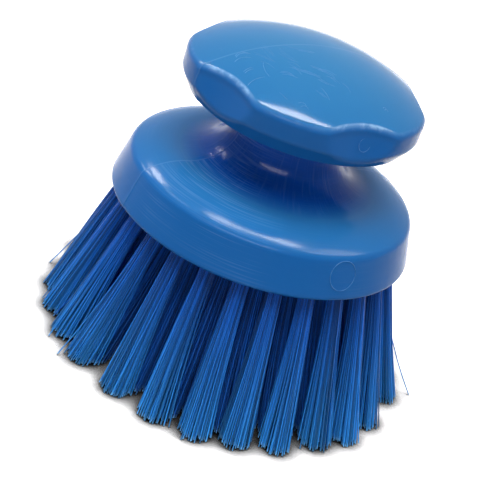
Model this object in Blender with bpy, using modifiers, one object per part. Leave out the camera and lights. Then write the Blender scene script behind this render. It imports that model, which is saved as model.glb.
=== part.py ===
"""A round bucket brush: one moulded handle block with a palm knob, and tufts of filament set in its drilled face.

The brush stands on its bristle tips at z = 0, centred on the Z axis. The mould halves would part in the XZ plane.
"""

import math

import bmesh
import bpy
from mathutils import Matrix, Vector

MM = 0.001

# Block: the thick round disc that carries the tufts. Its wall leans in by the draft, and its top is a crown, which
# is level where the neck rises from it and falls away to the shoulder.
TRIM_HEIGHT = 50.3 * MM
BLOCK_RADIUS = 52.5 * MM
BLOCK_DRAFT = 3.0 * MM
BLOCK_WALL_HEIGHT = 12.6 * MM
BLOCK_SHOULDER_RADIUS = 3.7 * MM
BLOCK_FOOT_RADIUS = 1.0 * MM
CROWN_RADIUS = 27.1 * MM
CROWN_SLOPE = math.radians(30.4)

# Neck: a waist that flares into the block below and the knob above
NECK_RADIUS = 18.5 * MM
NECK_HEAD_RADIUS = 34.0 * MM
NECK_FOOT_HEIGHT = 14.0 * MM
NECK_HEAD_HEIGHT = 7.7 * MM

# Knob: a low dome over an upright rim, with a bevelled lip below and scallops for the fingers. A scallop's floor
# is nearest the axis under the rim's shoulder, and runs out by its draft toward the underside.
KNOB_RADIUS = 40.7 * MM
KNOB_RIM_HEIGHT = 13.3 * MM
KNOB_DOME_RADIUS = 81.0 * MM
KNOB_SHOULDER_RADIUS = 3.0 * MM
KNOB_LIP_WIDTH = 3.2 * MM
KNOB_LIP_HEIGHT = 5.0 * MM
SCALLOP_COUNT = 5
SCALLOP_RADIUS = 55.0 * MM
SCALLOP_FLOOR = 37.2 * MM
SCALLOP_DRAFT = 2.6 * MM
FIRST_SCALLOP_ANGLE = math.radians(270)

# Drilled holes, the outer ones a margin in from the block's edge, and the folded roots that fill them
EDGE_MARGIN = 7.5 * MM
HOLE_RADIUS = 2.7 * MM
HOLE_DEPTH = 9.5 * MM
ROOT_CLEARANCE = 0.3 * MM

# Strands: a few stand in for the hundreds of filaments in a tuft
STRANDS_PER_TUFT = 8
STRAND_GAP = 0.16 * MM
TIP_RADIUS = 4.2 * MM
INNER_REACH_SHARE = 0.55
STRAND_GROWTH_SHARE = 1.7

# How far the cutters run past the faces that they cut, and how near points must lie to be one
OVERRUN = 2.0 * MM
MERGE_DISTANCE = 0.01 * MM

# Rings of tufts, from the block's edge in: how many tufts, how far they lean out, and bends along a strand
RING_NAMES = ("outer", "second", "third", "inner")
RING_TUFT_COUNTS = (26, 20, 9, 4)
RING_LEAN_ANGLES = tuple(math.radians(lean) for lean in (17.8, 15.4, 11.0, 5.0))
STRAND_BEND_COUNTS = (2, 1, 1, 1)
FIRST_TUFT_ANGLES = tuple(math.radians(angle) for angle in (98, 101, 98, 98))

# Radius of each ring of holes, as a share of the outer one's
RING_RADIUS_SHARES = (1, 0.8, 0.58, 0.27)

TURN_STEPS = 60
SCALLOP_STEPS = 96
HOLE_SIDES = 10
CREASE_ANGLE = math.radians(35)

# Radii and heights over the bristle tips that follow from the sizes above. The shoulder's arc starts at the top of
# the wall, and the crown's arc, back from it, ends level at the neck.
OUTER_RING_RADIUS = BLOCK_RADIUS - EDGE_MARGIN
WALL_SLOPE = math.atan2(BLOCK_DRAFT, BLOCK_WALL_HEIGHT)
WALL_TOP = TRIM_HEIGHT + BLOCK_WALL_HEIGHT
SHOULDER_MIDDLE_RADIUS = BLOCK_RADIUS - BLOCK_DRAFT - BLOCK_SHOULDER_RADIUS * math.cos(WALL_SLOPE)
SHOULDER_MIDDLE_HEIGHT = WALL_TOP - BLOCK_SHOULDER_RADIUS * math.sin(WALL_SLOPE)
CROWN_REACH = CROWN_RADIUS - BLOCK_SHOULDER_RADIUS
NECK_FOOT_RADIUS = SHOULDER_MIDDLE_RADIUS - CROWN_REACH * math.sin(CROWN_SLOPE)
CROWN_MIDDLE_HEIGHT = SHOULDER_MIDDLE_HEIGHT - CROWN_REACH * math.cos(CROWN_SLOPE)
BLOCK_TOP = CROWN_MIDDLE_HEIGHT + CROWN_RADIUS
WAIST = BLOCK_TOP + NECK_FOOT_HEIGHT
KNOB_UNDERSIDE = WAIST + NECK_HEAD_HEIGHT
RIM_TOP = KNOB_UNDERSIDE + KNOB_RIM_HEIGHT

BLUE_MOULDING = "1f62ab"
BLUE_FILAMENT = "2a6fb6"


def clear_scene():
    for obj in list(bpy.data.objects):
        bpy.data.objects.remove(obj, do_unlink=True)


def new_collection(name):
    collection = bpy.data.collections.new(name)
    bpy.context.scene.collection.children.link(collection)
    return collection


def linear_colour(hex_code):
    """The linear RGBA of an sRGB hex colour."""
    channels = [int(hex_code[i : i + 2], 16) / 255 for i in (0, 2, 4)]
    return [c / 12.92 if c <= 0.04045 else ((c + 0.055) / 1.055) ** 2.4 for c in channels] + [1]


def plastic(name, hex_code, roughness):
    material = bpy.data.materials.new(name)
    material.use_nodes = True
    shader = material.node_tree.nodes["Principled BSDF"]
    shader.inputs["Base Color"].default_value = linear_colour(hex_code)
    shader.inputs["Roughness"].default_value = roughness
    shader.inputs["Metallic"].default_value = 0
    return material


def new_object(name, mesh, collection, material=None):
    obj = bpy.data.objects.new(name, mesh)
    collection.objects.link(obj)
    if material and not mesh.materials:
        mesh.materials.append(material)
    return obj


def hide(obj):
    """Marks a cutter, which is drawn as wires and never rendered."""
    obj.hide_render = True
    obj.display_type = "WIRE"
    return obj


def mesh_of(bm, name):
    mesh = bpy.data.meshes.new(name)
    bm.to_mesh(mesh)
    bm.free()
    return mesh


def cylinder(bm, radius, depth, sides, matrix):
    """A closed cylinder along local Z, centred where the matrix puts it."""
    bmesh.ops.create_cone(
        bm, cap_ends=True, segments=sides, radius1=radius, radius2=radius, depth=depth, matrix=matrix
    )


def arc(centre, radii, start, end, steps):
    """Points of an elliptical arc in the (radius, height) plane, both ends included."""
    points = []
    for step in range(steps + 1):
        angle = start + (end - start) * step / steps
        points.append((centre[0] + radii[0] * math.cos(angle), centre[1] + radii[1] * math.sin(angle)))
    return points


def dome_centre_height():
    """Height of the dome's centre, from which the rim's shoulder meets the dome smoothly."""
    inner = KNOB_DOME_RADIUS - KNOB_SHOULDER_RADIUS
    drop = math.sqrt(inner**2 - (KNOB_RADIUS - KNOB_SHOULDER_RADIUS) ** 2)
    return RIM_TOP - KNOB_SHOULDER_RADIUS - drop


def rounded_shoulder(wall_radius, steps):
    """The arc from the dome to an upright wall at wall_radius, as (radius, height) points, top first."""
    inner = KNOB_DOME_RADIUS - KNOB_SHOULDER_RADIUS
    middle_radius = wall_radius - KNOB_SHOULDER_RADIUS
    middle_height = dome_centre_height() + math.sqrt(inner**2 - middle_radius**2)
    slope = math.acos(middle_radius / inner)
    return arc((middle_radius, middle_height), (KNOB_SHOULDER_RADIUS, KNOB_SHOULDER_RADIUS), slope, 0, steps)


def handle_profile():
    """The handle's outline from the top of the dome, down the outer side, to the middle of the underside."""
    quarter = math.pi / 2
    knob_shoulder = rounded_shoulder(KNOB_RADIUS, 4)
    slope = math.acos(knob_shoulder[0][0] / KNOB_DOME_RADIUS)
    dome = arc((0, dome_centre_height()), (KNOB_DOME_RADIUS, KNOB_DOME_RADIUS), quarter, slope, 7)
    lip = [(KNOB_RADIUS, KNOB_UNDERSIDE + KNOB_LIP_HEIGHT), (KNOB_RADIUS - KNOB_LIP_WIDTH, KNOB_UNDERSIDE)]
    head_radii = (NECK_HEAD_RADIUS - NECK_RADIUS, NECK_HEAD_HEIGHT)
    foot_radii = (NECK_FOOT_RADIUS - NECK_RADIUS, NECK_FOOT_HEIGHT)
    neck_head = arc((NECK_HEAD_RADIUS, WAIST), head_radii, quarter, 2 * quarter, 6)
    neck_foot = arc((NECK_FOOT_RADIUS, WAIST), foot_radii, 2 * quarter, 3 * quarter, 8)
    crown_end = quarter - CROWN_SLOPE
    crown_middle = (NECK_FOOT_RADIUS, CROWN_MIDDLE_HEIGHT)
    crown = arc(crown_middle, (CROWN_RADIUS, CROWN_RADIUS), quarter, crown_end, 5)
    shoulder_middle = (SHOULDER_MIDDLE_RADIUS, SHOULDER_MIDDLE_HEIGHT)
    shoulder_radii = (BLOCK_SHOULDER_RADIUS, BLOCK_SHOULDER_RADIUS)
    block_shoulder = arc(shoulder_middle, shoulder_radii, crown_end, WALL_SLOPE, 4)
    foot_middle = (BLOCK_RADIUS - BLOCK_FOOT_RADIUS, TRIM_HEIGHT + BLOCK_FOOT_RADIUS)
    block_foot = arc(foot_middle, (BLOCK_FOOT_RADIUS, BLOCK_FOOT_RADIUS), 0, -quarter, 2)
    block = crown[1:] + block_shoulder[1:] + block_foot
    outline = dome + knob_shoulder[1:] + lip + neck_head + neck_foot[1:] + block
    outline[0] = (0, outline[0][1])
    return outline + [(0, TRIM_HEIGHT)]


def turned(name, profile, steps, collection, material=None):
    """A solid of revolution about Z, from a profile in the XZ plane and a Screw modifier."""
    mesh = bpy.data.meshes.new(name)
    edges = [(i, i + 1) for i in range(len(profile) - 1)]
    mesh.from_pydata([(radius, 0, height) for radius, height in profile], edges, [])
    obj = new_object(name, mesh, collection, material)
    screw = obj.modifiers.new("Turn", "SCREW")
    screw.axis = "Z"
    screw.steps = steps
    screw.render_steps = steps
    screw.use_merge_vertices = True
    screw.merge_threshold = MERGE_DISTANCE
    screw.use_smooth_shade = True
    return obj


def scallop_profile():
    """Outline of the roller that leaves one scallop: flared at the rim's shoulder, and leaning out from there down."""
    shoulder = rounded_shoulder(SCALLOP_FLOOR, 3)
    reach = SCALLOP_FLOOR + SCALLOP_RADIUS
    flank = [(reach - radius, height) for radius, height in shoulder]
    top = flank[0][1] + KNOB_RIM_HEIGHT
    foot_radius = SCALLOP_RADIUS - SCALLOP_DRAFT
    return [(0, top), (flank[0][0], top)] + flank + [(foot_radius, KNOB_UNDERSIDE), (0, KNOB_UNDERSIDE)]


def scallop_rollers(collection):
    """Five rollers whose inner sides are the scallops of the knob's rim."""
    for index in range(SCALLOP_COUNT):
        angle = FIRST_SCALLOP_ANGLE + 2 * math.pi * index / SCALLOP_COUNT
        roller = turned(f"scallop_roller_{index + 1}", scallop_profile(), SCALLOP_STEPS, collection)
        roller.location = Matrix.Rotation(angle, 3, "Z") @ Vector((SCALLOP_FLOOR + SCALLOP_RADIUS, 0, 0))
        roller.rotation_euler.z = angle
        yield hide(roller)


def tuft_places():
    """Each tuft's name, ring and frame: the origin at its hole's mouth and local Z up into the block."""
    rings = zip(RING_NAMES, RING_TUFT_COUNTS, FIRST_TUFT_ANGLES, RING_LEAN_ANGLES, RING_RADIUS_SHARES)
    for ring, count, first, lean, radius_share in rings:
        mouth = Matrix.Translation((OUTER_RING_RADIUS * radius_share, 0, TRIM_HEIGHT))
        for index in range(count):
            turn = Matrix.Rotation(first + 2 * math.pi * index / count, 4, "Z")
            yield f"tuft_{ring}_{index + 1:02d}", ring, turn @ mouth @ Matrix.Rotation(-lean, 4, "Y")


def tuft_drills(collection):
    """A drill for every tuft, leaning as its tuft does."""
    bm = bmesh.new()
    for _, _, place in tuft_places():
        middle = Matrix.Translation((0, 0, (HOLE_DEPTH - OVERRUN) / 2))
        cylinder(bm, HOLE_RADIUS, HOLE_DEPTH + OVERRUN, HOLE_SIDES, place @ middle)
    return hide(new_object("tuft_drills", mesh_of(bm, "tuft_drills"), collection))


def cut(obj, tool):
    boolean = obj.modifiers.new(tool.name, "BOOLEAN")
    boolean.operation = "DIFFERENCE"
    boolean.solver = "EXACT"
    boolean.object = tool


def bake(obj):
    """Replaces an object's mesh by the one that its modifiers make, smooth apart from its creases."""
    mesh = bpy.data.meshes.new_from_object(obj.evaluated_get(bpy.context.evaluated_depsgraph_get()))
    obj.modifiers.clear()
    obj.data = mesh
    mesh.shade_smooth()
    mesh.set_sharp_from_angle(angle=CREASE_ANGLE)


def tuft_mesh(name, lean, bends):
    """One tuft: a root that fills its hole, and strands that spread from it to the flat trim plane."""
    root_radius = HOLE_RADIUS - ROOT_CLEARANCE
    root_length = HOLE_DEPTH - ROOT_CLEARANCE
    bm = bmesh.new()
    cylinder(bm, root_radius, root_length, STRANDS_PER_TUFT, Matrix.Translation((0, 0, root_length / 2)))
    mouth = [face for face in bm.faces if face.normal.z < -0.5]
    fan = bmesh.ops.poke(bm, faces=mouth)["faces"]
    bmesh.ops.inset_individual(bm, faces=fan, thickness=STRAND_GAP)
    for index, face in enumerate(fan):
        grow_strand(bm, face, lean, bends, INNER_REACH_SHARE if index % 2 else 1)
    for face in bm.faces:
        face.smooth = False
    return mesh_of(bm, name)


def grow_strand(bm, face, lean, bends, reach_share):
    """Extrudes one face of the root to the trim plane, spreading away from the tuft's own axis."""
    root_points = [vert.co.copy() for vert in face.verts]
    root_middle = sum(root_points, Vector()) / len(root_points)
    outward = root_middle.xy.normalized()
    spread = TIP_RADIUS * reach_share - root_middle.xy.length
    for bend in range(1, bends + 1):
        share = bend / bends
        face = bmesh.ops.extrude_discrete_faces(bm, faces=[face])["faces"][0]
        width_share = 1 + (STRAND_GROWTH_SHARE - 1) * share
        middle = root_middle.xy + outward * spread * share**1.5
        for vert, root in zip(face.verts, root_points):
            vert.co.xy = middle + (root.xy - root_middle.xy) * width_share
            vert.co.z = -share * (TRIM_HEIGHT + vert.co.x * math.sin(lean)) / math.cos(lean)


def build():
    clear_scene()
    parts = new_collection("Bucket brush")
    cutters = new_collection("Cutters")
    moulding = plastic("Moulded plastic", BLUE_MOULDING, 0.35)
    filament = plastic("Bristle filament", BLUE_FILAMENT, 0.5)

    handle = turned("handle_block", handle_profile(), TURN_STEPS, parts, moulding)
    for roller in scallop_rollers(cutters):
        cut(handle, roller)
    cut(handle, tuft_drills(cutters))
    bake(handle)

    meshes = {}
    for ring, lean, bends in zip(RING_NAMES, RING_LEAN_ANGLES, STRAND_BEND_COUNTS):
        meshes[ring] = tuft_mesh(f"tuft_{ring}", lean, bends)
    for name, ring, place in tuft_places():
        tuft = new_object(name, meshes[ring], parts, filament)
        tuft.matrix_world = place


build()
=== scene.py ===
"""Looks of a round bucket brush: a blue polypropylene moulding, and tufts of blue polyester filament."""

import math
import random

import bmesh
import bpy
from mathutils import Matrix, Quaternion, Vector


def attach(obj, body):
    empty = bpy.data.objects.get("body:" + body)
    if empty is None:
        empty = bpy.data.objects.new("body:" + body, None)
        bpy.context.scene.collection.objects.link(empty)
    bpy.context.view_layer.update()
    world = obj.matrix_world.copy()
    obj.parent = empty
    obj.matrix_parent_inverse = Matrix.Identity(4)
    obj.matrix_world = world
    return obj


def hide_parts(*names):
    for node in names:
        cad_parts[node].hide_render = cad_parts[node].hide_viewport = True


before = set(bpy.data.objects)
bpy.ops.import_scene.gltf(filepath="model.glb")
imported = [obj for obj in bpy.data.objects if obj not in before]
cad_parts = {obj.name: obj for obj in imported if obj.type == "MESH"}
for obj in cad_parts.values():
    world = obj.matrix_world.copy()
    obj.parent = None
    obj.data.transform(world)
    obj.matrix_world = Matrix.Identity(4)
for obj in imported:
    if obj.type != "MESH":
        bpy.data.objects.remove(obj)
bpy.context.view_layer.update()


# The camera. It stands half a metre from the brush and looks down on it at a slant. It is rolled, so that
# the brush leans to the right, and its aim is off the middle of the 500 x 493 frame.
mm = 0.001
image_width = 500
focal_pixels = 1401.1
camera_distance = 475.0 * mm
camera_elevation = math.radians(25.62)
camera_swing = math.radians(-35.5)
camera_roll = math.radians(19.55)
aim_right_pixels = 19.5
aim_down_pixels = -58.55
aim_point = Vector((0, 0, 60.0 * mm))


def swung(first, second, angle):
    """Two perpendicular directions, turned in their plane from the first toward the second."""
    return (
        first * math.cos(angle) + second * math.sin(angle),
        second * math.cos(angle) - first * math.sin(angle),
    )


toward_camera = Vector((0, -math.cos(camera_elevation), math.sin(camera_elevation)))
forward = -toward_camera
right = Vector((1, 0, 0))
up = right.cross(forward)
right, up = swung(right, up, camera_roll)
right, forward = swung(right, forward, math.atan2(aim_right_pixels, focal_pixels))
forward, up = swung(forward, up, math.atan2(aim_down_pixels, math.hypot(focal_pixels, aim_right_pixels)))
camera_data = bpy.data.cameras.new("camera")
camera_data.sensor_width = 36
camera_data.lens = camera_data.sensor_width * focal_pixels / image_width
camera = bpy.data.objects.new("camera", camera_data)
bpy.context.scene.collection.objects.link(camera)
pose = Matrix((right, up, -forward)).transposed().to_4x4()
pose.translation = aim_point + toward_camera * camera_distance
camera.matrix_world = Matrix.Rotation(camera_swing, 4, "Z") @ pose
bpy.context.scene.camera = camera
bpy.context.scene.view_settings.view_transform = "Standard"


# The studio. A matt floor in a white surround, lit by a large panel overhead and smaller ones at the left, at
# the right and low in front. The panels only light the brush, and the gloss lamps only draw its highlights.
white = "ffffff"
floor_paint = "f6f3f1"
floor_bounce = "96938f"
floor_size = 3000 * mm
floor_fill = 0.6
inner_floor = 35 * mm
outer_floor = 55 * mm
near_floor = 350 * mm
far_floor = 700 * mm
contact_reach = 7.8 * mm
contact_depth = 5.4
surround_strength = 0.05


def linear(hex_code):
    """The linear RGBA of an sRGB hex colour."""
    channels = [int(hex_code[i : i + 2], 16) / 255 for i in (0, 2, 4)]
    return [c / 12.92 if c <= 0.04045 else ((c + 0.055) / 1.055) ** 2.4 for c in channels] + [1]


def add_node(tree, kind, *values, into=None, **settings):
    """Adds a node, whose kind may be followed by its operation, and fills its inputs.

    Values fill the inputs in order, and into fills them by name or index. A node or a socket is linked, None
    is skipped, and anything else is the input's own value.
    """
    kind, _, operation = kind.partition(" ")
    made = tree.nodes.new(kind)
    if operation:
        made.operation = operation
    for name, setting in settings.items():
        setattr(made, name, setting)
    for key, value in [*enumerate(values), *(into or {}).items()]:
        if isinstance(value, bpy.types.Node):
            value = value.outputs[0]
        if isinstance(value, bpy.types.NodeSocket):
            tree.links.new(value, made.inputs[key])
        elif value is not None:
            made.inputs[key].default_value = value
    return made


def new_material(name):
    """A node material with nothing in it yet, and its tree."""
    material = bpy.data.materials.new(name)
    material.use_nodes = True
    material.node_tree.nodes.clear()
    return material, material.node_tree


def put_in_scene(name, data):
    """A new object with this data, linked to the scene."""
    made = bpy.data.objects.new(name, data)
    bpy.context.scene.collection.objects.link(made)
    return made


def seen_as_white(tree):
    """1 on a ray from the camera, in a mirror image or through glass, and 0 on scattered light."""
    ray = add_node(tree, "ShaderNodeLightPath").outputs
    direct = add_node(tree, "ShaderNodeMath MAXIMUM", ray["Is Camera Ray"], ray["Is Glossy Ray"])
    return add_node(tree, "ShaderNodeMath MAXIMUM", direct, ray["Is Transmission Ray"])


floor_mesh = bpy.data.meshes.new("floor")
bm = bmesh.new()
bmesh.ops.create_grid(bm, x_segments=1, y_segments=1, size=floor_size / 2)
bm.to_mesh(floor_mesh)
bm.free()
floor = put_in_scene("floor", floor_mesh)

# Matt paint. It bounces less light than it shows, has a painted contact shadow close to the tips, gets no
# fill light under the brush and stays white far off.
floor_material, tree = new_material("matt floor paint")
seen = seen_as_white(tree)
shown = add_node(tree, "ShaderNodeMix", data_type="RGBA", into={
    0: seen, 6: linear(floor_bounce), 7: linear(floor_paint)})
# A painted contact shadow: the paint darkens where the tips nearly touch the floor
open_share = add_node(tree, "ShaderNodeAmbientOcclusion", samples=8, into={"Distance": contact_reach})
contact = add_node(tree, "ShaderNodeMath POWER", open_share.outputs["AO"], contact_depth)
shown = add_node(tree, "ShaderNodeVectorMath SCALE", shown.outputs[2], into={"Scale": contact})
paint = add_node(tree, "ShaderNodeBsdfDiffuse", shown)
off_middle = add_node(tree, "ShaderNodeVectorMath LENGTH", add_node(
    tree, "ShaderNodeTexCoord").outputs["Object"]).outputs["Value"]
far = add_node(tree, "ShaderNodeMapRange", off_middle, near_floor, far_floor, 0.0, 1.0)
beside = add_node(tree, "ShaderNodeMapRange", off_middle, inner_floor, outer_floor, 0.0, floor_fill)
lift = add_node(tree, "ShaderNodeMath MAXIMUM", far, add_node(
    tree, "ShaderNodeMath MULTIPLY", contact, beside))
fill = add_node(tree, "ShaderNodeEmission", linear(white), add_node(
    tree, "ShaderNodeMath MULTIPLY", seen, lift))
add_node(tree, "ShaderNodeOutputMaterial", add_node(tree, "ShaderNodeAddShader", paint, fill))
floor_mesh.materials.append(floor_material)

world = bpy.data.worlds.new("white surround")
bpy.context.scene.world = world
world.use_nodes = True
tree = world.node_tree
tree.nodes.clear()
lighting = add_node(tree, "ShaderNodeBackground", linear(white), surround_strength)
backdrop = add_node(tree, "ShaderNodeBackground", linear(white), 1.0)
add_node(tree, "ShaderNodeOutputWorld", add_node(
    tree, "ShaderNodeMixShader", seen_as_white(tree), lighting, backdrop))

# Each lamp's direction and distance from the aim point, its width and height, its turn, and its power
for name, azimuth, elevation, distance, size, turn, watts in (
    ("overhead_panel", 232, 75, 1.3, (1.40, 1.00), 0, 19.5),
    ("left_panel", 120, 38, 1.2, (0.50, 0.50), 0, 6.5),
    ("right_panel", 345, 25, 1.2, (0.50, 0.40), 0, 2.8),
    ("front_panel", 232, 6, 1.4, (1.20, 0.40), 0, 3.6),
    ("overhead_gloss", 54.5, 83.1, 1.1, (0.66, 0.13), 0, 23.0),
    ("left_gloss", 105, 44, 1.2, (0.30, 0.10), 50, 5.0),
    ("left_neck_gloss", 117, 33, 1.2, (0.20, 0.22), 0, 4.5),
    ("left_edge_gloss", 132, 56, 1.2, (0.40, 0.20), 50, 3.2),
    ("right_edge_gloss", 337, 56, 1.2, (0.70, 0.44), -50, 13.0),
    ("front_gloss", 232, 37.5, 1.2, (1.10, 0.12), 0, 9.0),
):
    lamp_data = bpy.data.lights.new(name, "AREA")
    lights = name.endswith("_panel")
    lamp_data.shape = "RECTANGLE" if lights or name == "overhead_gloss" else "ELLIPSE"
    lamp_data.size, lamp_data.size_y = size
    lamp_data.energy = watts
    lamp = put_in_scene(name, lamp_data)
    lamp.visible_diffuse = lights
    lamp.visible_glossy = not lights
    level = Vector((math.cos(math.radians(azimuth)), math.sin(math.radians(azimuth)), 0))
    direction = level * math.cos(math.radians(elevation)) + Vector((0, 0, math.sin(math.radians(elevation))))
    lamp.location = aim_point + direction * distance
    turned = Quaternion((0, 0, 1), math.radians(turn))
    lamp.rotation_euler = (direction.to_track_quat("Z", "Y") @ turned).to_euler()


# The handle. One injection moulding of blue polypropylene, with block, neck and knob in one. The mould's
# halves part in the XZ plane and meet with a small step and a fine ridge. The tufts' holes are drilled later.
underside = 50.3 * mm
block_radius = 52.5 * mm
block_draft = 3.0 * mm
block_wall_height = 12.6 * mm
block_shoulder = 3.7 * mm
block_foot = 1.0 * mm
crown_radius = 27.1 * mm
crown_slope = math.radians(30.4)
neck_radius = 18.5 * mm
neck_head_radius = 34.0 * mm
neck_foot_height = 14.0 * mm
neck_head_height = 7.7 * mm
knob_radius = 40.7 * mm
knob_rim_height = 13.3 * mm
knob_dome_radius = 81.0 * mm
knob_shoulder = 3.0 * mm
knob_lip_width = 3.2 * mm
knob_lip_height = 5.0 * mm
lip_rounding = 2.5 * mm
underside_rounding = 1.0 * mm
under_knob_top_light = 0.6
neck_step = 0.5
scallop_radius = 55.0 * mm
scallop_floor = 37.2 * mm
scallop_draft = 2.6 * mm
# A narrow band round each scallop, a quarter of the way down the knob's shoulder, is worn and has a painted
# highlight
edge_band_lead = 0.5
edge_band_narrowness = 4
wall_lean = math.atan2(block_draft, block_wall_height)
wall_top = underside + block_wall_height
shoulder_middle = (block_radius - block_draft - block_shoulder * math.cos(wall_lean),
                   wall_top - block_shoulder * math.sin(wall_lean))
crown_reach = crown_radius - block_shoulder
neck_foot_radius = shoulder_middle[0] - crown_reach * math.sin(crown_slope)
crown_middle = (neck_foot_radius, shoulder_middle[1] - crown_reach * math.cos(crown_slope))
block_top = crown_middle[1] + crown_radius
waist = block_top + neck_foot_height
knob_underside = waist + neck_head_height
rim_top = knob_underside + knob_rim_height
dome_inner = knob_dome_radius - knob_shoulder
shoulder_reach = knob_radius - knob_shoulder
dome_middle = rim_top - knob_shoulder - math.sqrt(dome_inner**2 - shoulder_reach**2)


def arc(middle, radii, start, end, steps):
    """Points of an elliptical arc, as (radius, height), with both ends."""
    turns = [start + (end - start) * step / steps for step in range(steps + 1)]
    return [(middle[0] + radii[0] * math.cos(t), middle[1] + radii[1] * math.sin(t)) for t in turns]


def line(start, end, steps):
    """Points from one to another, without the first."""
    return [tuple(a + (b - a) * step / steps for a, b in zip(start, end)) for step in range(1, steps + 1)]


def handle_outline():
    """Rows of the handle from the top of the dome to the middle of the underside.

    Each row is its radius and height, how far it moves in with the scallops and up with the dome, how much of
    the mould's step it has, the radius that scallops cut down from, how far it is down their draft, its share
    of the scallop edges' wear and painted highlight, and how much painted light from above it gets.
    """
    quarter = math.pi / 2
    dome_end = math.acos(shoulder_reach / dome_inner)
    bevel = math.atan2(knob_lip_width, knob_lip_height)
    lip_top = knob_underside + knob_lip_height + lip_rounding * math.tan(bevel / 2)
    lip_foot = knob_radius - knob_lip_width - underside_rounding * math.tan((quarter - bevel) / 2)
    dome = arc((0, dome_middle), (knob_dome_radius, knob_dome_radius), quarter, dome_end, steps=30)
    shoulder = arc((shoulder_reach, rim_top - knob_shoulder), (knob_shoulder, knob_shoulder),
                   dome_end, 0, steps=10)
    lip = arc((knob_radius - lip_rounding, lip_top), (lip_rounding, lip_rounding), 0, -bevel, steps=6)
    turn = arc((lip_foot, knob_underside + underside_rounding), (underside_rounding, underside_rounding),
               -bevel, -quarter, steps=5)
    wall = line(shoulder[-1], lip[0], steps=6)[:-1]
    lip += line(lip[-1], turn[0], steps=5)[:-1] + turn
    head = arc((neck_head_radius, waist), (neck_head_radius - neck_radius, neck_head_height),
               quarter, 2 * quarter, steps=14)
    foot = arc((neck_foot_radius, waist), (neck_foot_radius - neck_radius, neck_foot_height),
               2 * quarter, 3 * quarter, steps=24)
    crown = arc(crown_middle, (crown_radius, crown_radius), quarter, quarter - crown_slope, steps=12)
    edge = arc(shoulder_middle, (block_shoulder, block_shoulder), quarter - crown_slope, wall_lean, steps=10)
    heel = arc((block_radius - block_foot, underside + block_foot), (block_foot, block_foot),
               wall_lean, -quarter, steps=6)
    rows = []
    for radius, height in dome:
        rows.append((radius, height, radius / shoulder_reach, (radius / dome[-1][0]) ** 2,
                     radius / knob_radius, knob_radius, 0, 0))
    for step, point in enumerate(shoulder[1:], start=1):
        wear = math.sin(math.pi * (step / len(shoulder)) ** edge_band_lead) ** edge_band_narrowness
        rows.append((*point, 1, 1, 1, knob_radius, 0, wear))
    for radius, height in wall + lip:
        down = (wall[0][1] - height) / (wall[0][1] - knob_underside)
        rows.append((radius, height, 1, max(1 - 2 * down, 0), 1, radius, max(down, 0), 0))
    rows += [(*point, 0, 0, neck_step, knob_radius, 1, 0) for point in head + foot[1:]]
    block = crown[1:] + edge[1:] + line(edge[-1], heel[0], steps=12)[:-1] + heel
    rows += [(*point, 0, 0, 1, knob_radius, 1, 0) for point in block]
    rows += [(*point, 0, 0, 0, knob_radius, 1, 0) for point in line(heel[-1], (0, underside), steps=8)]
    # Faces that look up get a share of painted light from above, less under the knob
    faded = []
    for row, before, after in zip(rows, rows[:1] + rows, rows[1:] + rows[-1:]):
        outward, drop = after[0] - before[0], before[1] - after[1]
        looks_up = max(outward, 0) / math.hypot(outward, drop)
        faded.append(looks_up**2 * (1 if row[1] > knob_underside else under_knob_top_light))
    return [(*row, share) for row, share in zip(rows, faded)]


outline_rows = handle_outline()
outline = bpy.data.meshes.new("handle_outline")
outline.from_pydata([(row[0], 0, row[1]) for row in outline_rows], [], [])
for column, name in enumerate(("pull", "lift", "step", "limit", "flare", "wear", "fading"), start=2):
    values = outline.attributes.new(name, "FLOAT", "POINT")
    values.data.foreach_set("value", [row[column] for row in outline_rows])

handle_inputs = {
    "Geometry": ("NodeSocketGeometry", None),
    "Rows": ("NodeSocketInt", len(outline_rows)),
    "Columns": ("NodeSocketInt", 480),
    "Crowding": ("NodeSocketFloat", 0.7),
    "Rim radius": ("NodeSocketFloat", knob_radius),
    "Shoulder radius": ("NodeSocketFloat", knob_shoulder),
    "Dome radius": ("NodeSocketFloat", dome_inner),
    "Scallops": ("NodeSocketInt", 5),
    "Scallop radius": ("NodeSocketFloat", scallop_radius),
    "Scallop floor": ("NodeSocketFloat", scallop_floor),
    "Scallop draft": ("NodeSocketFloat", scallop_draft),
    "First scallop": ("NodeSocketFloat", math.radians(270)),
    "Corner softness": ("NodeSocketFloat", 0.45 * mm),
    "Mould step": ("NodeSocketFloat", 0.09 * mm),
    "Ridge height": ("NodeSocketFloat", 0.12 * mm),
    "Ridge width": ("NodeSocketFloat", 0.30 * mm),
    "Edge band from": ("NodeSocketFloat", 0.2 * mm),
    "Edge band to": ("NodeSocketFloat", 1.6 * mm),
    "Least edge band": ("NodeSocketFloat", 0.15),
    "Merge distance": ("NodeSocketFloat", 0.001 * mm),
    "Material": ("NodeSocketMaterial", None),
}


def new_geometry_tree(name, inputs):
    """A Geometry Nodes tree with named inputs and one geometry out, and the sockets of its inputs."""
    tree = bpy.data.node_groups.new(name, "GeometryNodeTree")
    for socket, (kind, _) in inputs.items():
        tree.interface.new_socket(socket, in_out="INPUT", socket_type=kind)
    tree.interface.new_socket("Geometry", in_out="OUTPUT", socket_type="NodeSocketGeometry")
    return tree, add_node(tree, "NodeGroupInput").outputs


turning, given = new_geometry_tree("scalloped turning", handle_inputs)
tree = turning

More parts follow.
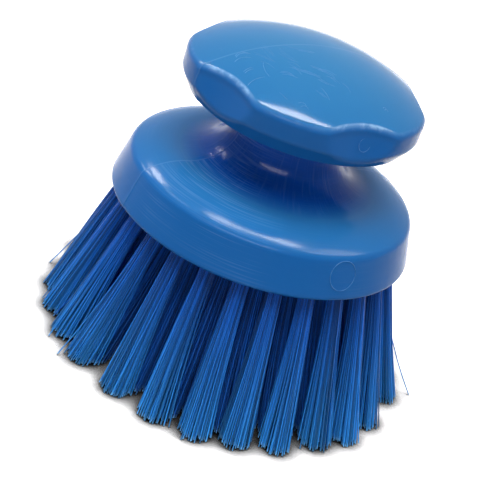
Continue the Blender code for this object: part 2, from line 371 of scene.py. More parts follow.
# A flat grid gives each point its row and its column. Columns crowd together at the parting line.
grid = add_node(tree, "GeometryNodeMeshGrid", 1.0, 1.0, given["Rows"], add_node(
    tree, "ShaderNodeMath ADD", given["Columns"], 1.0))
place = add_node(tree, "ShaderNodeSeparateXYZ", add_node(tree, "GeometryNodeInputPosition")).outputs
last_row = add_node(tree, "ShaderNodeMath SUBTRACT", given["Rows"], 1.0)
down = add_node(tree, "ShaderNodeMath ADD", place["X"], 0.5)
row = add_node(tree, "ShaderNodeMath ROUND", add_node(tree, "ShaderNodeMath MULTIPLY", down, last_row))
round_share = add_node(tree, "ShaderNodeMath ADD", place["Y"], 0.5)
even = add_node(tree, "ShaderNodeMath MULTIPLY", round_share, 2 * math.pi)
ripple = add_node(tree, "ShaderNodeMath SINE", add_node(tree, "ShaderNodeMath MULTIPLY", even, 2.0))
crowd = add_node(tree, "ShaderNodeMath MULTIPLY", given["Crowding"], -0.5)
azimuth = add_node(tree, "ShaderNodeMath MULTIPLY_ADD", ripple, crowd, even)
sampled = {}
for name in ("position", "pull", "lift", "step", "limit", "flare", "wear", "fading"):
    kind = "FLOAT_VECTOR" if name == "position" else "FLOAT"
    field = add_node(tree, "GeometryNodeInputNamedAttribute", name, data_type=kind)
    sampled[name] = add_node(tree, "GeometryNodeSampleIndex", given["Geometry"], field, row, data_type=kind)
plain = add_node(tree, "ShaderNodeSeparateXYZ", sampled["position"]).outputs

# The rim's radius at an azimuth: round between scallops, hollow in them, and blended where they meet
pitch = add_node(tree, "ShaderNodeMath DIVIDE", 2 * math.pi, given["Scallops"])
half_pitch = add_node(tree, "ShaderNodeMath MULTIPLY", pitch, 0.5)
minus_half = add_node(tree, "ShaderNodeMath MULTIPLY", pitch, -0.5)
turned = add_node(tree, "ShaderNodeMath SUBTRACT", azimuth, given["First scallop"])
off = add_node(tree, "ShaderNodeMath WRAP", turned, half_pitch, minus_half)
floor_radius = add_node(tree, "ShaderNodeMath MULTIPLY_ADD", given["Scallop draft"], sampled["flare"],
                        given["Scallop floor"])
reach = add_node(tree, "ShaderNodeMath ADD", floor_radius, given["Scallop radius"])
aside = add_node(tree, "ShaderNodeMath MULTIPLY", reach, add_node(tree, "ShaderNodeMath SINE", off))
ahead = add_node(tree, "ShaderNodeMath MULTIPLY", reach, add_node(tree, "ShaderNodeMath COSINE", off))
inside = add_node(tree, "ShaderNodeMath SUBTRACT",
                  add_node(tree, "ShaderNodeMath POWER", given["Scallop radius"], 2.0),
                  add_node(tree, "ShaderNodeMath POWER", aside, 2.0))
chord = add_node(tree, "ShaderNodeMath SQRT", add_node(tree, "ShaderNodeMath MAXIMUM", inside, 0.0))
hollow = add_node(tree, "ShaderNodeMath SUBTRACT", ahead, chord)
both = add_node(tree, "ShaderNodeMath ADD", sampled["limit"], hollow)
depth = add_node(tree, "ShaderNodeMath SUBTRACT", sampled["limit"], hollow)
half_depth = add_node(tree, "ShaderNodeMath MULTIPLY", depth, 0.5)
blend = add_node(tree, "ShaderNodeMath SQRT", add_node(
    tree, "ShaderNodeMath ADD",
    add_node(tree, "ShaderNodeMath POWER", half_depth, 2.0),
    add_node(tree, "ShaderNodeMath POWER", given["Corner softness"], 2.0)))
rim = add_node(tree, "ShaderNodeMath SUBTRACT", add_node(tree, "ShaderNodeMath MULTIPLY", both, 0.5), blend)

# A row moves in as far as it follows the rim, and up with the dome, which is higher nearer the axis
inward = add_node(tree, "ShaderNodeMath SUBTRACT", sampled["limit"], rim)
heights = []
for radius in (rim, given["Rim radius"]):
    middle = add_node(tree, "ShaderNodeMath SUBTRACT", radius, given["Shoulder radius"])
    under_root = add_node(tree, "ShaderNodeMath SUBTRACT",
                          add_node(tree, "ShaderNodeMath POWER", given["Dome radius"], 2.0),
                          add_node(tree, "ShaderNodeMath POWER", middle, 2.0))
    heights.append(add_node(tree, "ShaderNodeMath SQRT", under_root))
upward = add_node(tree, "ShaderNodeMath SUBTRACT", *heights)
radius = add_node(tree, "ShaderNodeMath SUBTRACT", plain["X"], add_node(
    tree, "ShaderNodeMath MULTIPLY", inward, sampled["pull"]))
height = add_node(tree, "ShaderNodeMath MULTIPLY_ADD", upward, sampled["lift"], plain["Z"])

# The mould's step and ridge, by the distance from its parting plane
side = add_node(tree, "ShaderNodeMath SINE", azimuth)
gap = add_node(tree, "ShaderNodeMath DIVIDE", add_node(tree, "ShaderNodeMath MULTIPLY", side, radius),
               given["Ridge width"])
away = add_node(tree, "ShaderNodeMath POWER", add_node(tree, "ShaderNodeMath ABSOLUTE", gap), 2.0)
nearness = add_node(tree, "ShaderNodeMath EXPONENT", add_node(tree, "ShaderNodeMath MULTIPLY", away, -1.0))
halves = add_node(tree, "ShaderNodeMath TANH", gap)
offset = add_node(tree, "ShaderNodeMath MULTIPLY_ADD", nearness, given["Ridge height"], add_node(
    tree, "ShaderNodeMath MULTIPLY", halves, given["Mould step"]))
radius = add_node(tree, "ShaderNodeMath MULTIPLY_ADD", offset, sampled["step"], radius)
# The scallops' edge band of wear and painted highlight, and the share of painted light from above
worn = add_node(tree, "ShaderNodeMath MULTIPLY", sampled["wear"], add_node(
    tree, "ShaderNodeMapRange", inward, given["Edge band from"], given["Edge band to"], given["Least edge band"], 1.0))
for name, value in (("worn", worn), ("faded", sampled["fading"])):
    grid = add_node(tree, "GeometryNodeStoreNamedAttribute", grid, data_type="FLOAT", domain="POINT",
                    into={"Name": name, "Value": value})
moved = add_node(tree, "GeometryNodeSetPosition", grid, into={"Position": add_node(
    tree, "ShaderNodeCombineXYZ",
    add_node(tree, "ShaderNodeMath MULTIPLY", radius, add_node(tree, "ShaderNodeMath COSINE", azimuth)),
    add_node(tree, "ShaderNodeMath MULTIPLY", radius, side),
    height)})
closed = add_node(tree, "GeometryNodeMergeByDistance", moved, into={"Distance": given["Merge distance"]})
whole = add_node(tree, "GeometryNodeRealizeInstances", closed)
add_node(tree, "NodeGroupOutput", add_node(
    tree, "GeometryNodeSetMaterial", whole, into={"Material": given["Material"]}))


def give_inputs(modifier, tree, values):
    """Sets the inputs of a nodes modifier, each by its socket's identifier."""
    modifier.node_group = tree
    for item in tree.interface.items_tree:
        if item.in_out == "INPUT" and values.get(item.name) is not None:
            modifier[item.identifier] = values[item.name]


def settle(made):
    """Gives an object the plain mesh that its modifiers make, and removes them."""
    mesh = bpy.data.meshes.new_from_object(made.evaluated_get(bpy.context.evaluated_depsgraph_get()))
    made.modifiers.clear()
    made.data = mesh
    return mesh


# Holes: four rings, each with its radius, its lean away from the axis and the azimuth of its first hole
hole_radius = 2.7 * mm
hole_depth = 9.5 * mm
hole_sides = 20
hole_rings = {
    "outer": (45.0 * mm, math.radians(17.8), math.radians(98)),
    "second": (36.0 * mm, math.radians(15.4), math.radians(101)),
    "third": (26.1 * mm, math.radians(11.0), math.radians(98)),
    "inner": (12.15 * mm, math.radians(5.0), math.radians(98)),
}


def hole_places():
    """Each tuft's node, its ring and its hole's frame: origin at the mouth, and Z up into the block."""
    for ring, (radius, lean, first) in hole_rings.items():
        names = sorted(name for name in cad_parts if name.startswith(f"tuft_{ring}_"))
        for index, name in enumerate(names):
            turn = Matrix.Rotation(first + 2 * math.pi * index / len(names), 4, "Z")
            mouth = turn @ Matrix.Translation((radius, 0, underside))
            yield name, ring, mouth @ Matrix.Rotation(-lean, 4, "Y")


drill_mesh = bpy.data.meshes.new("drills")
bm = bmesh.new()
for _, _, place in hole_places():
    bmesh.ops.create_cone(bm, cap_ends=True, segments=hole_sides, radius1=hole_radius, radius2=hole_radius,
                          depth=2 * hole_depth, matrix=place)
bm.to_mesh(drill_mesh)
bm.free()
drills = put_in_scene("drills", drill_mesh)

# Moulded polypropylene: a waxy gloss with some sink and ripple, fine arcs where the mould was lathed, rubbed
# streaks up the neck, partly painted reflection, scuffed edges on the scallops with a painted highlight along
# them, and a ridge where the mould parts, painted paler as a highlight. Faces that look up are painted paler,
# as painted light from above, and the neck is painted a deeper blue, as painted shade. The lathe's marks,
# most of them next to the parting line, are drawn 0.5 mm apart, coarser than they are, to show.
moulding_blue = "1a67b4"
top_light_blue = "3179ad"
neck_shade_blue = "0a50ac"
scuff_and_highlight_blue = "9cc6ee"
ripple_size = 13 * mm
dimple_size = 3.2 * mm
patch_size = 19 * mm
nick_size = 3.5 * mm
mark_spacing = 0.5 * mm
streak_spacing = 9 * mm
mark_turns = 1.7
streak_turns = 26.0
flare_width = 8 * mm
few_marks_azimuth = math.radians(-112)
most_marks_azimuth = math.radians(-150)
fewest_marks = 0.12
ridge_core = 0.15 * mm
ridge_edge = 0.35 * mm
even_roughness = 0.07
rippled_roughness = 0.11
neck_roughness = 0.07
scuff_roughness = 0.4
polypropylene, tree = new_material("moulded polypropylene")
spot = add_node(tree, "ShaderNodeTexCoord").outputs["Object"]
axes = add_node(tree, "ShaderNodeSeparateXYZ", spot).outputs
flat = add_node(tree, "ShaderNodeCombineXYZ", axes["X"], axes["Y"])
from_axis = add_node(tree, "ShaderNodeVectorMath LENGTH", flat).outputs["Value"]
around = add_node(tree, "ShaderNodeMath ARCTAN2", axes["Y"], axes["X"])

ripple = add_node(tree, "ShaderNodeTexNoise", spot, into={
    "Scale": 1 / ripple_size, "Detail": 2.0, "Roughness": 0.45})
dimple = add_node(tree, "ShaderNodeTexNoise", spot, into={
    "Scale": 1 / dimple_size, "Detail": 2.0, "Roughness": 0.5})
grooves = []
for turns, spacing in ((mark_turns, mark_spacing), (streak_turns, streak_spacing)):
    grooves.append(add_node(tree, "ShaderNodeTexNoise", add_node(
        tree, "ShaderNodeCombineXYZ",
        add_node(tree, "ShaderNodeMath MULTIPLY", around, turns),
        add_node(tree, "ShaderNodeMath DIVIDE", from_axis, spacing),
        add_node(tree, "ShaderNodeMath DIVIDE", axes["Z"], spacing)),
        into={"Scale": 1.0, "Detail": 1.0, "Roughness": 0.5}))
lathed, rubbed = grooves
on_flare = add_node(
    tree, "ShaderNodeMapRange", from_axis, neck_foot_radius, neck_foot_radius - flare_width, 0.0, 1.0)
below_knob = add_node(tree, "ShaderNodeMath LESS_THAN", axes["Z"], knob_underside)
neck_share = add_node(tree, "ShaderNodeMath MULTIPLY", on_flare, below_knob)
past_parting = add_node(
    tree, "ShaderNodeMapRange", around, few_marks_azimuth, most_marks_azimuth, fewest_marks, 1.0)
patches = add_node(tree, "ShaderNodeMapRange", add_node(
    tree, "ShaderNodeTexNoise", spot, into={"Scale": 1 / patch_size, "Detail": 1.0}), 0.38, 0.60, 0.15, 1.0)
marks = add_node(tree, "ShaderNodeMapRange", lathed, 0.50, 0.66, 0.0, 1.0)
marks = add_node(tree, "ShaderNodeMath MULTIPLY", marks, add_node(
    tree, "ShaderNodeMath MULTIPLY", add_node(
        tree, "ShaderNodeMath MULTIPLY", past_parting, patches), below_knob))
# The rubbed streaks are painted slightly pale, partly as painted reflection
streaks = add_node(tree, "ShaderNodeMath MULTIPLY", neck_share, add_node(
    tree, "ShaderNodeMapRange", rubbed, 0.52, 0.72, 0.0, 1.0))
# The parting ridge is painted paler, as a painted highlight on its thin edge
off_parting = add_node(tree, "ShaderNodeMath ABSOLUTE", axes["Y"])
parting = add_node(tree, "ShaderNodeMapRange", off_parting, ridge_core, ridge_edge, 1.0, 0.0)

band_breaks = add_node(tree, "ShaderNodeMapRange", add_node(
    tree, "ShaderNodeTexNoise", spot, into={"Scale": 1 / nick_size, "Detail": 3.0}), 0.46, 0.60, 0.4, 1.0)
worn = add_node(tree, "ShaderNodeMath MULTIPLY", band_breaks, add_node(
    tree, "ShaderNodeAttribute", attribute_name="worn").outputs["Fac"])
# The scallops' edge band is worn plastic with a painted highlight along it
scuffs_and_highlights = 0.0
for pale_mark, strength in ((parting, 0.11), (marks, 0.13), (streaks, 0.05), (worn, 0.7)):
    scuffs_and_highlights = add_node(tree, "ShaderNodeMath MAXIMUM", scuffs_and_highlights, add_node(
        tree, "ShaderNodeMath MULTIPLY", pale_mark, strength))
# Faces that look up are painted paler: painted light from above
colour = add_node(tree, "ShaderNodeMix", data_type="RGBA", into={
    0: add_node(tree, "ShaderNodeAttribute", attribute_name="faded").outputs["Fac"],
    6: linear(moulding_blue), 7: linear(top_light_blue)})
# The neck is painted a deeper blue: painted shade under the knob
colour = add_node(tree, "ShaderNodeMix", data_type="RGBA", into={
    0: neck_share, 6: colour.outputs[2], 7: linear(neck_shade_blue)})
colour = add_node(tree, "ShaderNodeMix", data_type="RGBA", into={
    0: scuffs_and_highlights, 6: colour.outputs[2], 7: linear(scuff_and_highlight_blue)})
gloss = add_node(tree, "ShaderNodeMapRange", ripple, 0.3, 0.7, even_roughness, rippled_roughness)
gloss = add_node(tree, "ShaderNodeMath MULTIPLY_ADD", below_knob, neck_roughness, gloss)
gloss = add_node(tree, "ShaderNodeMath MULTIPLY_ADD", scuffs_and_highlights, scuff_roughness, gloss)
relief = None
for height, strength, deep in (
    (ripple, 1.0, 0.035 * mm), (dimple, neck_share, 0.10 * mm), (marks, 1.0, 0.006 * mm),
    (rubbed, neck_share, 0.05 * mm),
):
    relief = add_node(tree, "ShaderNodeBump", strength, deep, into={"Height": height, "Normal": relief})
surface = add_node(tree, "ShaderNodeBsdfPrincipled", into={
    "Base Color": colour.outputs[2], "Roughness": gloss, "IOR": 1.49, "Specular IOR Level": 0.06,
    "Subsurface Weight": 0.12, "Subsurface Radius": (0.3, 0.6, 1.0), "Subsurface Scale": 3 * mm,
    "Normal": relief})
add_node(tree, "ShaderNodeOutputMaterial", surface)

hole_edge_angle = math.radians(40)
handle = put_in_scene("moulded_handle", outline)
handle_values = {name: value for name, (_, value) in handle_inputs.items()}
give_inputs(handle.modifiers.new("Turning", "NODES"), turning, {**handle_values, "Material": polypropylene})
boring = handle.modifiers.new("Drilling", "BOOLEAN")
boring.operation = "DIFFERENCE"
boring.solver = "EXACT"
boring.object = drills
moulding = settle(handle)
bpy.data.objects.remove(drills)
moulding.shade_smooth()
moulding.set_sharp_from_angle(angle=hole_edge_angle)
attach(handle, "root")
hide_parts("handle_block")


# Witness rings. The ejector pins of the mould leave a fine raised circle where each one ends flush: one on
# the block's wall, and a smaller one in the scallop above it. They are part of the same moulding, and are
# painted paler, as painted light that comes through such thin plastic.
# The base blue is paler than the moulding's: painted light through thin plastic. Bruises whiten it further.
lit_through_blue = "2f7cc2"
bruised_blue = "a4cdf2"
bruise_size = 2.5 * mm
thin_plastic, tree = new_material("thin and bruised polypropylene")
spot = add_node(tree, "ShaderNodeTexCoord").outputs["Object"]
bruise = add_node(tree, "ShaderNodeTexNoise", spot, into={"Scale": 1 / bruise_size, "Detail": 2.0})
above_rim = add_node(tree, "ShaderNodeMapRange", add_node(
    tree, "ShaderNodeSeparateXYZ", spot).outputs["Z"], rim_top - 1 * mm, rim_top, 0.0, 0.3)
paleness = add_node(tree, "ShaderNodeMath ADD", above_rim, add_node(
    tree, "ShaderNodeMapRange", bruise, 0.35, 0.65, 0.0, 0.25))
colour = add_node(tree, "ShaderNodeMix", data_type="RGBA", into={
    0: paleness, 6: linear(lit_through_blue), 7: linear(bruised_blue)})
surface = add_node(tree, "ShaderNodeBsdfPrincipled", into={
    "Base Color": colour.outputs[2], "Roughness": 0.4, "IOR": 1.49, "Specular IOR Level": 0.06})
add_node(tree, "ShaderNodeOutputMaterial", surface)

witness_rings = put_in_scene("witness_rings", bpy.data.meshes.new("witness_rings"))
bm = bmesh.new()
ring_sides = 6
ring_steps = 64
scallop_lean = math.atan2(scallop_draft, knob_rim_height - knob_shoulder)
heel_lean = math.atan2(block_draft - block_foot * (1 - math.cos(wall_lean)),
                       block_wall_height - block_foot * (1 + math.sin(wall_lean)))
# Each ring's place and size, its wall's radius at a foot height, the hollow that it lies in, and the lean
for azimuth, height, circle_radius, thickness, foot_radius, foot_height, hollow_radius, lean in (
    (272.4, 58.8 * mm, 4.8 * mm, 0.11 * mm, block_radius - block_draft, wall_top, None, heel_lean),
    (272.2, 98.8 * mm, 2.1 * mm, 0.06 * mm, scallop_floor + scallop_draft, knob_underside, scallop_radius,
     scallop_lean),
):
    loops = []
    for step in range(ring_steps):
        turn = 2 * math.pi * step / ring_steps
        loop = []
        for side in range(ring_sides):
            tilt = 2 * math.pi * side / ring_sides
            reach = circle_radius + thickness * math.cos(tilt)
            across = reach * math.cos(turn)
            level = height + reach * math.sin(turn)
            out = foot_radius - (level - foot_height) * math.tan(lean) + thickness * math.sin(tilt)
            around = math.radians(azimuth) + across / out
            if hollow_radius:
                out += across**2 / 2 * (1 / hollow_radius + 1 / out)
            loop.append(bm.verts.new((out * math.cos(around), out * math.sin(around), level)))
        loops.append(loop)
    for loop, after in zip(loops, loops[1:] + loops[:1]):
        for side in range(ring_sides):
            bm.faces.new((loop[side], after[side], after[side - 1], loop[side - 1]))
bmesh.ops.recalc_face_normals(bm, faces=bm.faces[:])
bm.to_mesh(witness_rings.data)
bm.free()
witness_rings.data.shade_smooth()
witness_rings.data.materials.append(thin_plastic)
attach(witness_rings, "root")


# Scratches on the knob. Use has left hairlines on the front of its top, each with a fine burr of bruised
# plastic that has turned pale, and that is painted paler still, as painted light through its thin plastic. A
# burr is a low ridge over the dome that runs out to nothing at both ends.
burr_width = 0.11 * mm
burr_height = 0.04 * mm
burr_steps = 14
burr_spacing = 0.55 * mm
burr_shift = 1 * mm
spacing_range = (0.7, 1.6)
length_range = (0.75, 1.05)
# Where each starts, its heading in degrees, its length, how far its middle bows out, and how many there are
scratches = (
    (-20.3, 1.3, -84, 7.7, -0.1, 2), (-20.9, 0.4, -87, 11.3, -0.6, 1), (-16.3, -2.5, -75, 7.9, -0.5, 2),
    (-16.8, -4.9, -56, 7.4, -0.8, 1), (-16.2, -12.1, -41, 9.4, -0.7, 2), (-9.6, -19.3, -42, 5.3, -0.3, 2),
    (-13.7, -14.5, -40, 7.0, -0.1, 2), (-10.6, -12.6, -33, 6.9, 0.0, 2), (-7.9, -14.9, -41, 6.4, 0.3, 3),
    (-6.2, -17.9, -55, 4.7, 0.5, 2), (-2.2, -20.3, -73, 5.5, 0.6, 1), (-12.2, -24.2, -58, 3.5, 0.0, 2),
    (-10.3, -23.7, -80, 5.0, 0.3, 1), (-29.7, -2.3, -1, 5.4, 1.5, 2), (-24.6, -2.5, -62, 7.8, 0.3, 2),
    (-24.9, -6.7, -61, 5.5, 0.6, 1), (-23.9, -8.4, -96, 7.5, -0.7, 1), (-20.9, -14.9, -34, 4.8, 0.5, 3),
    (-13.0, 0.2, -39, 9.5, -0.6, 1), (-10.5, -3.9, -21, 5.5, 0.3, 2), (-31.7, -11.1, 15, 4.1, 0.4, 2),
    (-31.6, -16.2, 14, 6.2, 0.9, 1), (-24.0, -22.6, -67, 3.7, 0.0, 1),
    (-19.9, -28.6, -36, 3.4, 0.8, 2), (-32.3, 6.0, -100, 2.6, 0.1, 2), (-17.0, -9.4, -50, 5.6, 0.9, 1),
    (-17.2, -12.4, -60, 5.0, 0.9, 1), (10.8, -29.9, -11, 1.7, 0.8, 2), (-30.8, -4.4, -2, 6.3, 1.3, 1),
)
knob_scratches = put_in_scene("knob_scratches", bpy.data.meshes.new("knob_scratches"))
bm = bmesh.new()
dome_centre = Vector((0, 0, dome_middle))
chance = random.Random(11)


def on_dome(x, y):
    """The point of the knob's dome at this place in plan."""
    return Vector((x, y, dome_middle + math.sqrt(knob_dome_radius**2 - x**2 - y**2)))


for x, y, heading, length, bow, copies in scratches:
    ahead = Vector((math.cos(math.radians(heading)), math.sin(math.radians(heading))))
    aside = Vector((-ahead.y, ahead.x))
    for copy in range(copies):
        shift = ahead * chance.uniform(-1, 1) * burr_shift
        shift += aside * copy * burr_spacing * chance.uniform(*spacing_range)
        stretch = chance.uniform(*length_range)
        middles = []
        for step in range(burr_steps + 1):
            share = step / burr_steps
            spot = Vector((x, y)) * mm + shift + ahead * length * stretch * share * mm
            spot += aside * bow * 4 * share * (1 - share) * mm
            middles.append(on_dome(spot.x, spot.y))
        ends = [bm.verts.new(middles[0]), bm.verts.new(middles[-1])]
        loops = []
        for before, middle, after in zip(middles, middles[1:], middles[2:]):
            outward = (middle - dome_centre).normalized()
            across = outward.cross(after - before).normalized() * burr_width / 2
            loops.append([bm.verts.new(middle + across - outward * burr_height),
                          bm.verts.new(middle + outward * burr_height),
                          bm.verts.new(middle - across - outward * burr_height)])
        for loop, after in zip(loops, loops[1:]):
            for side in range(len(loop)):
                bm.faces.new((loop[side], after[side], after[side - 1], loop[side - 1]))
        for end, loop in zip(ends, (loops[0], loops[-1])):
            for side in range(len(loop)):
                bm.faces.new((end, loop[side], loop[side - 1]))
bmesh.ops.recalc_face_normals(bm, faces=bm.faces[:])
bm.to_mesh(knob_scratches.data)
bm.free()
knob_scratches.data.materials.append(thin_plastic)
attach(knob_scratches, "root")


# The tufts. Each is a bundle of polyester filament, folded in half and driven into its hole by a wire anchor,
# so that both ends stand out. All are trimmed to one plane, and splay and drift apart a little in use. The
# filaments are drawn 0.4 mm thick, coarser and fewer than they are.
tuft_inputs = {
    "Filaments": ("NodeSocketInt", 150),
    "Bundle radius": ("NodeSocketFloat", 2.5 * mm),
    "Splay": ("NodeSocketFloat", 2.2),
    "Opening": ("NodeSocketFloat", 1.3),
    "Filament radius": ("NodeSocketFloat", 0.2 * mm),
    "Stand-off": ("NodeSocketFloat", underside - 0.1 * mm),
    "Lean": ("NodeSocketFloat", 0.0),
    "Rooted": ("NodeSocketFloat", 1.5 * mm),
    "Ragged": ("NodeSocketFloat", 1.3 * mm),
    "Wander": ("NodeSocketFloat", 0.45 * mm),
    "Stray": ("NodeSocketFloat", 3.0 * mm),
    "Drift": ("NodeSocketVector", (0.0, 0.0, 0.0)),
    "Seed": ("NodeSocketInt", 0),
    "Wear and light": ("NodeSocketFloat", 1.0),
    "Points": ("NodeSocketInt", 8),
    "Sides": ("NodeSocketInt", 5),
    "Material": ("NodeSocketMaterial", None),
}
stray_rarity = 22.0
trim_evenness = 2.5
lean_onset = 1.8
cut_edge_angle = math.radians(80)
bundling, given = new_geometry_tree("tuft of filament", tuft_inputs)
tree = bundling

# Filaments stand in a sunflower pattern in the hole, and each has its own chances
index = add_node(tree, "GeometryNodeInputIndex")
share = add_node(tree, "ShaderNodeMath DIVIDE",
                 add_node(tree, "ShaderNodeMath ADD", index, 0.5), given["Filaments"])
reach = add_node(tree, "ShaderNodeMath MULTIPLY",
                 add_node(tree, "ShaderNodeMath SQRT", share), given["Bundle radius"])
angle = add_node(tree, "ShaderNodeMath MULTIPLY", index, math.pi * (3 - math.sqrt(5)))
seat = add_node(
    tree, "ShaderNodeCombineXYZ",
    add_node(tree, "ShaderNodeMath MULTIPLY", reach, add_node(tree, "ShaderNodeMath COSINE", angle)),
    add_node(tree, "ShaderNodeMath MULTIPLY", reach, add_node(tree, "ShaderNodeMath SINE", angle)))
points = add_node(tree, "GeometryNodePoints", given["Filaments"], seat)
points = add_node(tree, "GeometryNodeStoreNamedAttribute", points, data_type="FLOAT_VECTOR", domain="POINT",
                  into={"Name": "seat", "Value": seat})
chances = {"shade": 1.0, "trim": 1.0, "stray": 1.0, "heading": 2 * math.pi}
for salt, (name, most) in enumerate(chances.items()):
    seed = add_node(tree, "ShaderNodeMath MULTIPLY_ADD", given["Seed"], 7.0, float(salt))
    chance = add_node(tree, "FunctionNodeRandomValue", into={2: 0.0, 3: most, "ID": index, "Seed": seed})
    points = add_node(tree, "GeometryNodeStoreNamedAttribute", points, data_type="FLOAT", domain="POINT",
                      into={"Name": name, "Value": chance.outputs[1]})
strand = add_node(tree, "GeometryNodeResampleCurve", add_node(tree, "GeometryNodeCurvePrimitiveLine"),
                  into={"Count": given["Points"]})
strands = add_node(tree, "GeometryNodeRealizeInstances", add_node(
    tree, "GeometryNodeInstanceOnPoints", points, None, strand))
own = {}
for name, kind in (("seat", "FLOAT_VECTOR"), ("trim", "FLOAT"), ("stray", "FLOAT"), ("heading", "FLOAT")):
    own[name] = add_node(tree, "GeometryNodeInputNamedAttribute", name, data_type=kind)

# At the trim plane a filament has splayed, wandered off with its own heading, and drifted with its tuft
along = add_node(tree, "GeometryNodeSplineParameter")
strayed = add_node(tree, "ShaderNodeMath MULTIPLY_ADD",
                   add_node(tree, "ShaderNodeMath POWER", own["stray"], stray_rarity),
                   given["Stray"], given["Wander"])
wander = add_node(tree, "ShaderNodeVectorMath SCALE", add_node(
    tree, "ShaderNodeCombineXYZ",
    add_node(tree, "ShaderNodeMath COSINE", own["heading"]),
    add_node(tree, "ShaderNodeMath SINE", own["heading"])), into={"Scale": strayed})
aside = add_node(tree, "ShaderNodeVectorMath ADD", wander, given["Drift"])
tip = add_node(tree, "ShaderNodeVectorMath ADD", aside, add_node(
    tree, "ShaderNodeVectorMath SCALE", own["seat"], into={"Scale": given["Splay"]}))
tip_out = add_node(tree, "ShaderNodeSeparateXYZ", tip).outputs["X"]
short = add_node(tree, "ShaderNodeMath MULTIPLY",
                 add_node(tree, "ShaderNodeMath POWER", own["trim"], trim_evenness), given["Ragged"])
drop = add_node(tree, "ShaderNodeMath SUBTRACT", given["Stand-off"], short)
drop = add_node(tree, "ShaderNodeMath MULTIPLY_ADD", tip_out, add_node(
    tree, "ShaderNodeMath SINE", given["Lean"]), drop)
length = add_node(tree, "ShaderNodeMath ADD", given["Rooted"], add_node(
    tree, "ShaderNodeMath DIVIDE", drop, add_node(tree, "ShaderNodeMath COSINE", given["Lean"])))

# On the way there it spreads gently at first, and leans off its line later
spread = add_node(tree, "ShaderNodeMath MULTIPLY_ADD",
                  add_node(tree, "ShaderNodeMath POWER", along, given["Opening"]),
                  add_node(tree, "ShaderNodeMath SUBTRACT", given["Splay"], 1.0), 1.0)
fanned = add_node(tree, "ShaderNodeVectorMath SCALE", own["seat"], into={"Scale": spread})
leant = add_node(tree, "ShaderNodeVectorMath SCALE", aside, into={"Scale": add_node(
    tree, "ShaderNodeMath POWER", along, lean_onset)})
height = add_node(tree, "ShaderNodeMath SUBTRACT", given["Rooted"], add_node(
    tree, "ShaderNodeMath MULTIPLY", length, along))
route = add_node(tree, "ShaderNodeVectorMath ADD", add_node(tree, "ShaderNodeVectorMath ADD", fanned, leant),
                 add_node(tree, "ShaderNodeCombineXYZ", None, None, height))
routed = add_node(tree, "GeometryNodeSetPosition", strands, into={"Position": route})
for name, value in (("along", along), ("worn", given["Wear and light"])):
    routed = add_node(tree, "GeometryNodeStoreNamedAttribute", routed, data_type="FLOAT", domain="POINT",
                      into={"Name": name, "Value": value})
section = add_node(tree, "GeometryNodeCurvePrimitiveCircle", mode="RADIUS",
                   into={"Resolution": given["Sides"], "Radius": given["Filament radius"]})
tubes = add_node(tree, "GeometryNodeCurveToMesh", routed, section, into={"Fill Caps": True})
whole = add_node(tree, "GeometryNodeRealizeInstances", tubes)
add_node(tree, "NodeGroupOutput", add_node(
    tree, "GeometryNodeSetMaterial", whole, into={"Material": given["Material"]}))

# Extruded polyester: smooth and glossy along its length, and not quite the same blue from filament to
# filament. Toward the tips it is paler, from wear and as painted light through the filament, and the cut ends
# are palest, from the cut and as painted glints. Inside the brush the tips pale less, as painted shade.
filament_root_blue = "1656b6"
worn_and_lit_tip_blue = "318fde"
cut_end_and_glint_blue = "8ccbf4"
paling_onset = 1.5
cut_share = 0.025
cut_paleness = 0.6
shade_range = (0.42, 1.55)
polyester, tree = new_material("extruded polyester filament")
along = add_node(tree, "ShaderNodeAttribute", attribute_name="along").outputs["Fac"]
shade = add_node(tree, "ShaderNodeAttribute", attribute_name="shade").outputs["Fac"]
worn = add_node(tree, "ShaderNodeAttribute", attribute_name="worn").outputs["Fac"]
paled = add_node(tree, "ShaderNodeMath MULTIPLY", add_node(
    tree, "ShaderNodeMath POWER", along, paling_onset), worn)
blue = add_node(tree, "ShaderNodeMix", data_type="RGBA", into={
    0: paled, 6: linear(filament_root_blue), 7: linear(worn_and_lit_tip_blue)})
blue = add_node(tree, "ShaderNodeMix", data_type="RGBA", into={
    0: add_node(tree, "ShaderNodeMapRange", along, 1 - cut_share, 1.0, 0.0, cut_paleness),
    6: blue.outputs[2], 7: linear(cut_end_and_glint_blue)})
blue = add_node(tree, "ShaderNodeHueSaturation", into={
    "Value": add_node(tree, "ShaderNodeMapRange", shade, 0.0, 1.0, *shade_range), "Color": blue.outputs[2]})
surface = add_node(tree, "ShaderNodeBsdfPrincipled", into={
    "Base Color": blue, "Roughness": 0.30, "IOR": 1.55, "Specular IOR Level": 0.12})
add_node(tree, "ShaderNodeOutputMaterial", surface)

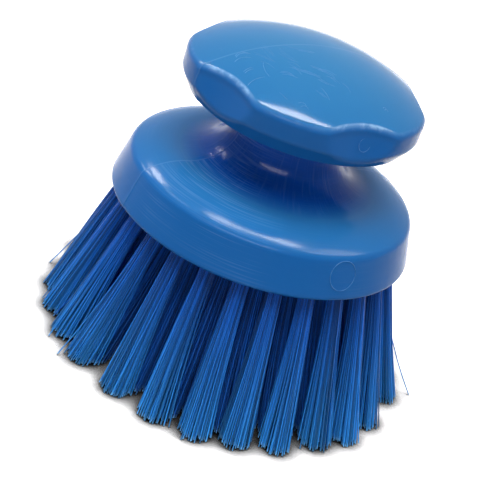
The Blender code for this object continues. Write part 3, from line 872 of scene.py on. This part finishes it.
# How far the tips of each outer tuft in view have drifted, outward and to the side, in millimetres
outer_drift = {
    4: (-2.8, 0.5), 5: (-2.0, -1.5), 6: (-2.0, -2.4), 7: (-2.5, -2.0), 8: (-1.5, -2.5), 9: (-1.0, 1.0),
    10: (1.0, 2.2), 11: (2.2, 1.4), 12: (1.2, -0.9), 13: (1.5, -2.0), 14: (0.7, -1.6), 15: (1.6, -4.6),
    16: (0.0, -5.0), 17: (0.5, 1.0),
}


def grow(name, place, values):
    """A piece of filament in its hole, made by the tree with these values."""
    piece = put_in_scene(name, bpy.data.meshes.new(name))
    usual = {key: value for key, (_, value) in tuft_inputs.items()}
    growing = piece.modifiers.new("Filaments", "NODES")
    give_inputs(growing, bundling, {**usual, "Material": polyester, **values})
    mesh = settle(piece)
    mesh.transform(place)
    mesh.shade_smooth()
    mesh.set_sharp_from_angle(angle=cut_edge_angle)
    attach(piece, "root")
    return piece


# Inside the outer ring, tufts have room to spread from the root and fill the brush
inner_splay = 2.8
inner_opening = 0.8
inner_wear_and_light = 0.15
pushed_out = {"outer": 0, "second": 4.0, "third": 2.5, "inner": 0}
outward_spread = 0.8
sideways_spread = 1.0
chance = random.Random(5)
for number, (name, ring, place) in enumerate(hole_places()):
    drift = (chance.gauss(pushed_out[ring], outward_spread), chance.gauss(0, sideways_spread))
    drift = outer_drift.get(number + 1, drift) if ring == "outer" else drift
    # Inner tufts pale less toward their tips: painted shade inside the brush
    shape = {} if ring == "outer" else {"Splay": inner_splay, "Opening": inner_opening, "Wear and light": inner_wear_and_light}
    tuft = grow(name.replace("tuft", "filaments"), place, {
        "Lean": hole_rings[ring][1], "Drift": (drift[0] * mm, drift[1] * mm, 0.0), "Seed": number, **shape})
    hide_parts(name)

# Two filaments that have sprung out of their bundles, at the brush's right and left
for name, source, drift in (
    ("sprung_filament_right", "tuft_outer_17", (9.5, 7.5)),
    ("sprung_filament_left", "tuft_outer_04", (4.2, 0.5)),
):
    place = next(hole for node, _, hole in hole_places() if node == source)
    grow(name, place, {
        "Filaments": 1, "Bundle radius": 0.2 * mm, "Lean": hole_rings["outer"][1], "Seed": 3,
        "Drift": (drift[0] * mm, drift[1] * mm, 0.0)})
